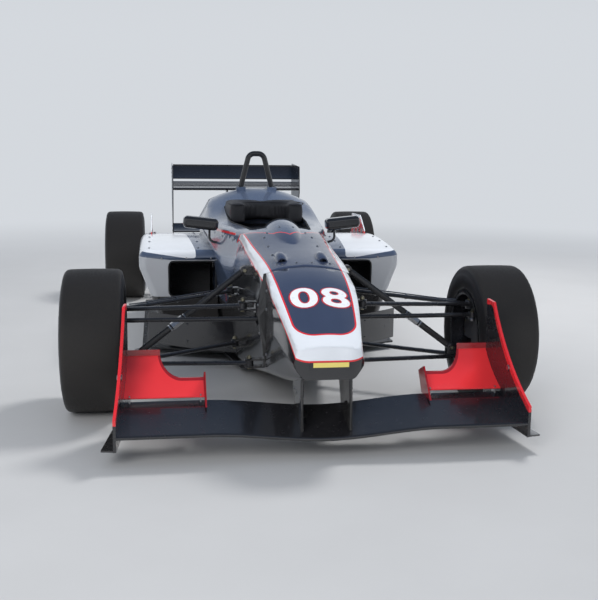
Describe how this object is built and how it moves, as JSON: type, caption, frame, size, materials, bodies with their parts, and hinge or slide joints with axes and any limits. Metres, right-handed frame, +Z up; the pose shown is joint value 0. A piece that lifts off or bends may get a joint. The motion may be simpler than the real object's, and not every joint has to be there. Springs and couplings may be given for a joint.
{
  "type": "single-seat open wheel racing car",
  "caption": "Open wheel racing car with wings, slick tyres and a hollow cockpit; wheels spin and the front wheels steer with the steering wheel.",
  "frame": {"origin": "on the ground, in the middle of the car's length and width", "axes": "+X to the car's left, +Y to the rear, +Z up"},
  "size_m": [1.8422, 4.0508, 0.9998],
  "materials": {
    "body_dark": "gloss lacquer",
    "body_white": "gloss lacquer",
    "red_carbon": "gloss lacquer",
    "carbon": "lacquered carbon fibre",
    "carbon_matt": "bare carbon fibre",
    "arm_black": "black powder coat",
    "upright_metal": "machined",
    "shaft_steel": "oiled steel",
    "engine_metal": "cast",
    "gearbox_metal": "cast",
    "exhaust_steel": "heat tinted",
    "radiator_metal": "finned",
    "rim_metal": "dark anodised",
    "light_lens": "clear lens",
    "hoop_steel": "black powder coat",
    "seat_shell": "bare carbon shell",
    "headrest_foam": "padded cover",
    "mirror_shell": "gloss black",
    "wheel_grip": "stitched suede",
    "tyre": "slick rubber"
  },
  "bodies": {
    "chassis": {"tub": "body_dark", "nose_cone": "body_dark", "engine_cover": "body_dark", "sidepods": "body_white", "sidepod_fins": "red_carbon", "front_wing": "carbon", "front_wing_flaps": "red_carbon", "front_wing_endplates": "carbon", "floor": "carbon_matt", "diffuser": "carbon_matt", "turning_vanes": "carbon_matt", "front_upper_wishbones": "arm_black", "front_lower_wishbones": "arm_black", "front_pushrods": "arm_black", "rear_upper_wishbones": "arm_black", "rear_lower_wishbones": "arm_black", "rear_pushrods": "arm_black", "rear_uprights": "upright_metal", "engine": "engine_metal", "gearbox": "gearbox_metal", "exhaust": "exhaust_steel", "radiators": "radiator_metal", "rear_wing": "carbon", "rear_wing_endplates": "carbon", "rear_wing_pillars": "carbon", "rear_light": "light_lens", "roll_hoop": "hoop_steel", "seat": "seat_shell", "headrest": "headrest_foam", "mirrors": "mirror_shell"},
    "steering_wheel": {"steering_wheel": "wheel_grip"},
    "upright_left": {"front_upright_left": "upright_metal"},
    "tie_rod_left": {"tie_rod_left": "arm_black"},
    "wheel_front_left": {"tyre_front_left": "tyre", "rim_front_left": "rim_metal"},
    "wheel_rear_left": {"tyre_rear_left": "tyre", "rim_rear_left": "rim_metal", "driveshaft_left": "shaft_steel"},
    "upright_right": {"front_upright_right": "upright_metal"},
    "tie_rod_right": {"tie_rod_right": "arm_black"},
    "wheel_front_right": {"tyre_front_right": "tyre", "rim_front_right": "rim_metal"},
    "wheel_rear_right": {"tyre_rear_right": "tyre", "rim_rear_right": "rim_metal", "driveshaft_right": "shaft_steel"}
  },
  "joints": [
    {"name": "steer_left", "type": "hinge", "parent": "chassis", "child": "upright_left", "pos_m": [0.715, -1.325, 0.28], "axis": [0, 0, 1], "range_deg": [-18, 18]},
    {"name": "steer_right", "type": "hinge", "parent": "chassis", "child": "upright_right", "pos_m": [-0.715, -1.325, 0.28], "axis": [0, 0, 1], "range_deg": [-18, 18]},
    {"name": "tie_rod_left", "type": "hinge", "parent": "upright_left", "child": "tie_rod_left", "pos_m": [0.7, -1.41, 0.372], "axis": [0, 0, 1], "range_deg": [-20, 20]},
    {"name": "front_left_spin", "type": "hinge", "parent": "upright_left", "child": "wheel_front_left", "pos_m": [0.804, -1.325, 0.28], "axis": [1, 0, 0], "continuous": true},
    {"name": "rear_left_spin", "type": "hinge", "parent": "chassis", "child": "wheel_rear_left", "pos_m": [0.7735, 1.375, 0.29], "axis": [1, 0, 0], "continuous": true},
    {"name": "tie_rod_right", "type": "hinge", "parent": "upright_right", "child": "tie_rod_right", "pos_m": [-0.7, -1.41, 0.372], "axis": [0, 0, 1], "range_deg": [-20, 20]},
    {"name": "front_right_spin", "type": "hinge", "parent": "upright_right", "child": "wheel_front_right", "pos_m": [-0.804, -1.325, 0.28], "axis": [1, 0, 0], "continuous": true},
    {"name": "rear_right_spin", "type": "hinge", "parent": "chassis", "child": "wheel_rear_right", "pos_m": [-0.7735, 1.375, 0.29], "axis": [1, 0, 0], "continuous": true},
    {"name": "steering_wheel_turn", "type": "hinge", "parent": "chassis", "child": "steering_wheel", "pos_m": [0, -0.525, 0.56], "axis": [0, 0.9272, 0.3746], "range_deg": [-185, 185]}
  ],
  "couplings": [
    {"joint": "steer_right", "follows": "steer_left", "ratio": 1},
    {"joint": "tie_rod_left", "follows": "steer_left", "ratio": -1},
    {"joint": "tie_rod_right", "follows": "steer_left", "ratio": -1},
    {"joint": "steering_wheel_turn", "follows": "steer_left", "ratio": 10}
  ]
}
